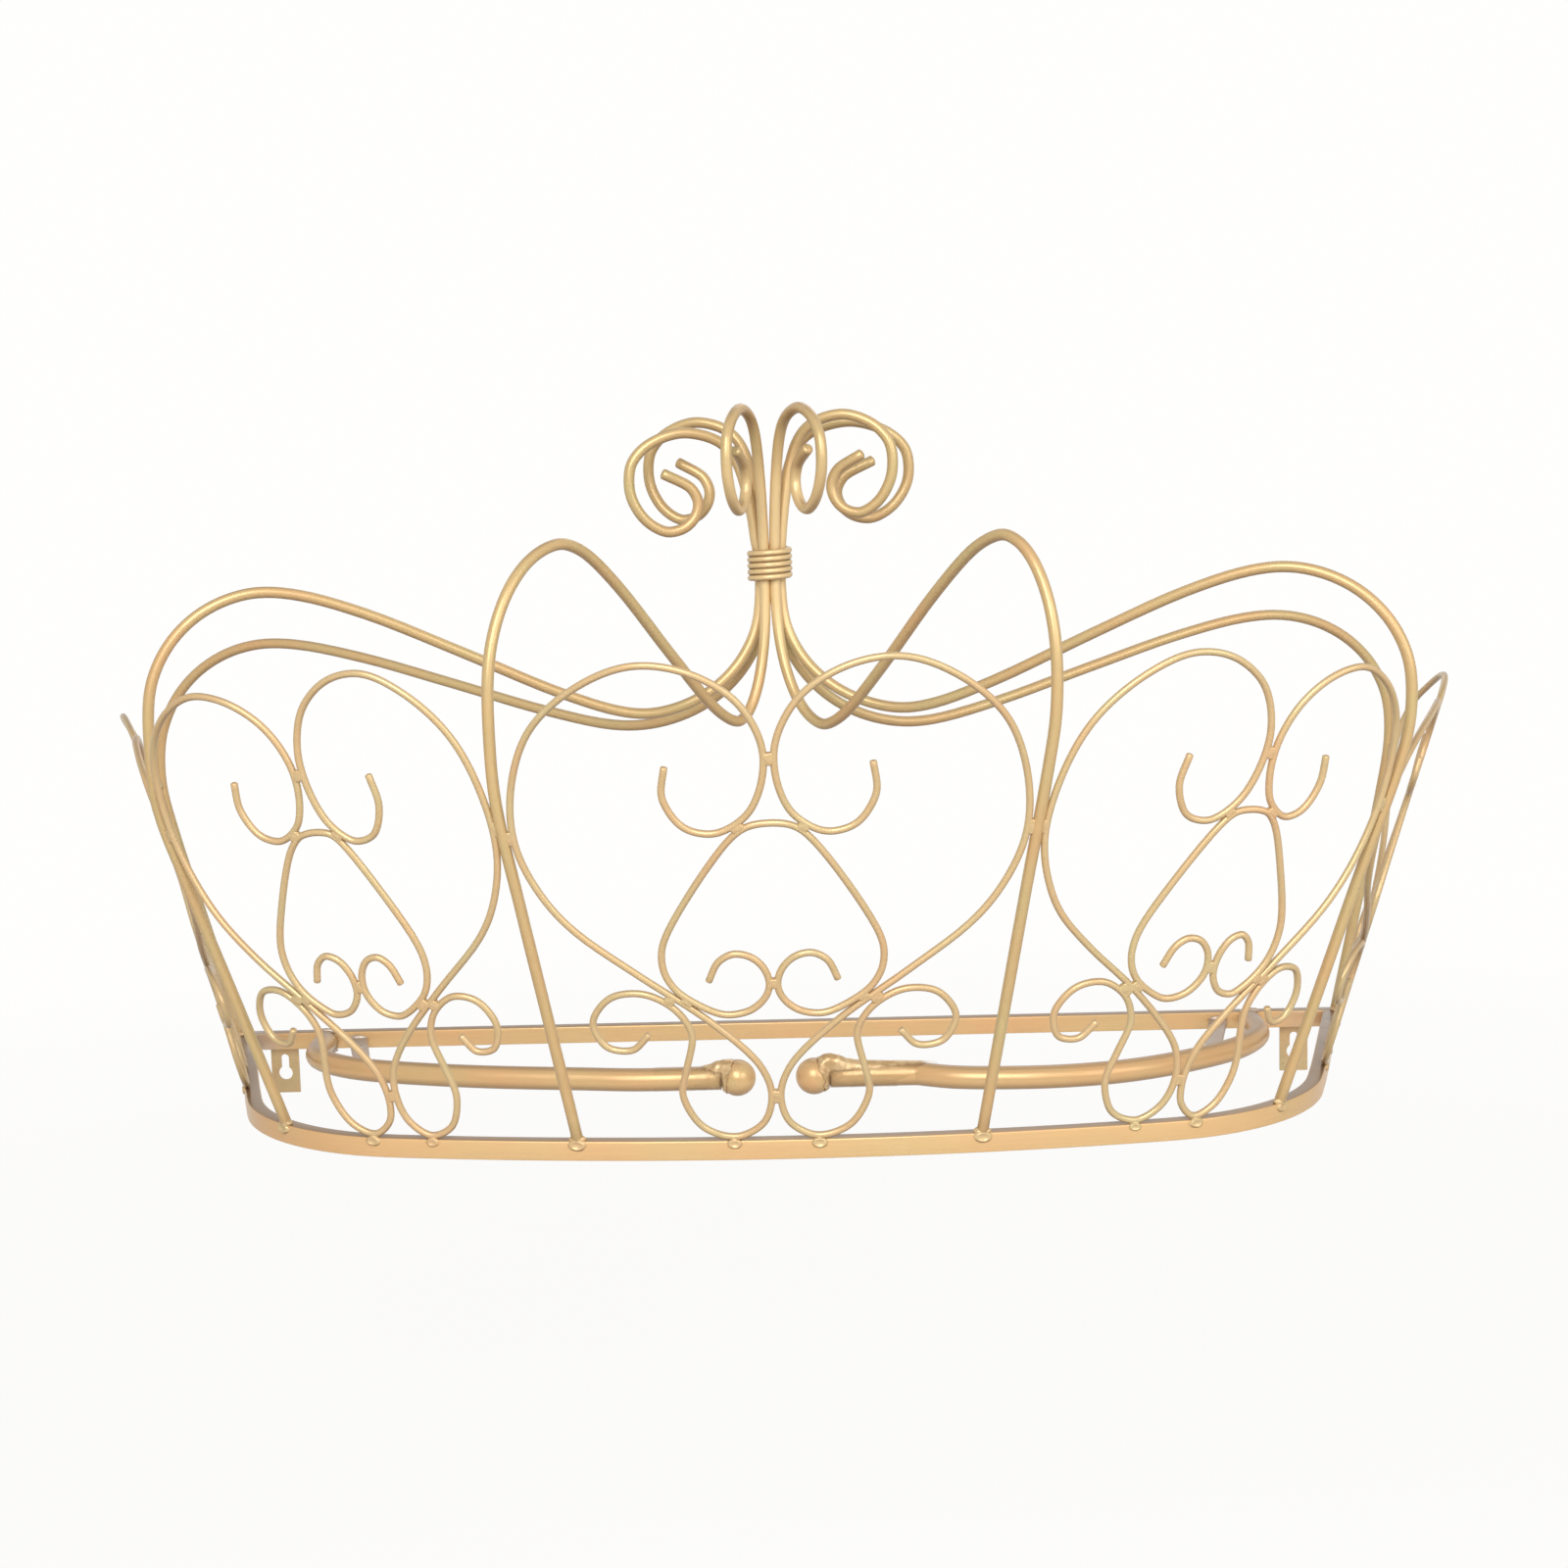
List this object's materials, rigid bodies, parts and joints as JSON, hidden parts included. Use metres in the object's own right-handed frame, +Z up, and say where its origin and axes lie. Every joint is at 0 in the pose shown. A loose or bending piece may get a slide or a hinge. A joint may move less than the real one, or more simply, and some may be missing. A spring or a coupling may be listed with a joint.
{
  "type": "bed crown canopy",
  "caption": "Half-round metal bed crown for the wall, with scrolled wire panels between arched ribs bound together at the top, and curtain rods below with ball ends.",
  "frame": {"origin": "middle of the back bar's back face, which lies flat on the wall", "axes": "+X to the right along the wall, +Y into the wall, +Z up"},
  "size_m": [0.8155, 0.3528, 0.4354],
  "materials": {
    "satin_gold": "satin gold paint on steel",
    "pale_gold": "lighter satin gold paint on steel wire",
    "rubbed_gold": "thin gold over grey steel, rubbed",
    "clear_film": "clear wrinkled film"
  },
  "bodies": {
    "crown": {"front_band": "satin_gold", "back_bar": "satin_gold", "rib_front_left": "satin_gold", "rib_front_right": "satin_gold", "rib_side_left": "satin_gold", "rib_side_right": "satin_gold", "rib_back_left": "satin_gold", "rib_back_right": "satin_gold", "front_heart_left": "pale_gold", "front_heart_right": "pale_gold", "front_pear": "pale_gold", "left_corner_heart_left": "pale_gold", "left_corner_heart_right": "pale_gold", "left_corner_pear": "pale_gold", "right_corner_heart_left": "pale_gold", "right_corner_heart_right": "pale_gold", "right_corner_pear": "pale_gold", "left_side_heart_left": "pale_gold", "left_side_heart_right": "pale_gold", "left_side_pear": "pale_gold", "right_side_heart_left": "pale_gold", "right_side_heart_right": "pale_gold", "right_side_pear": "pale_gold", "binding": "satin_gold", "curtain_rod_left": "satin_gold", "curtain_rod_right": "satin_gold", "film_sleeve_left": "clear_film", "film_sleeve_right": "clear_film", "rod_strap_left": "rubbed_gold", "rod_strap_right": "rubbed_gold", "keyhole_plate_left": "rubbed_gold", "keyhole_plate_right": "rubbed_gold"},
    "finial_left": {"ball_finial_left": "satin_gold"},
    "finial_right": {"ball_finial_right": "satin_gold"}
  },
  "joints": [
    {"name": "finial_left_pull", "type": "slide", "parent": "crown", "child": "finial_left", "axis": [1, 0, 0], "range_m": [0, 0.0115]},
    {"name": "finial_right_pull", "type": "slide", "parent": "crown", "child": "finial_right", "axis": [-1, 0, 0], "range_m": [0, 0.0115]}
  ]
}
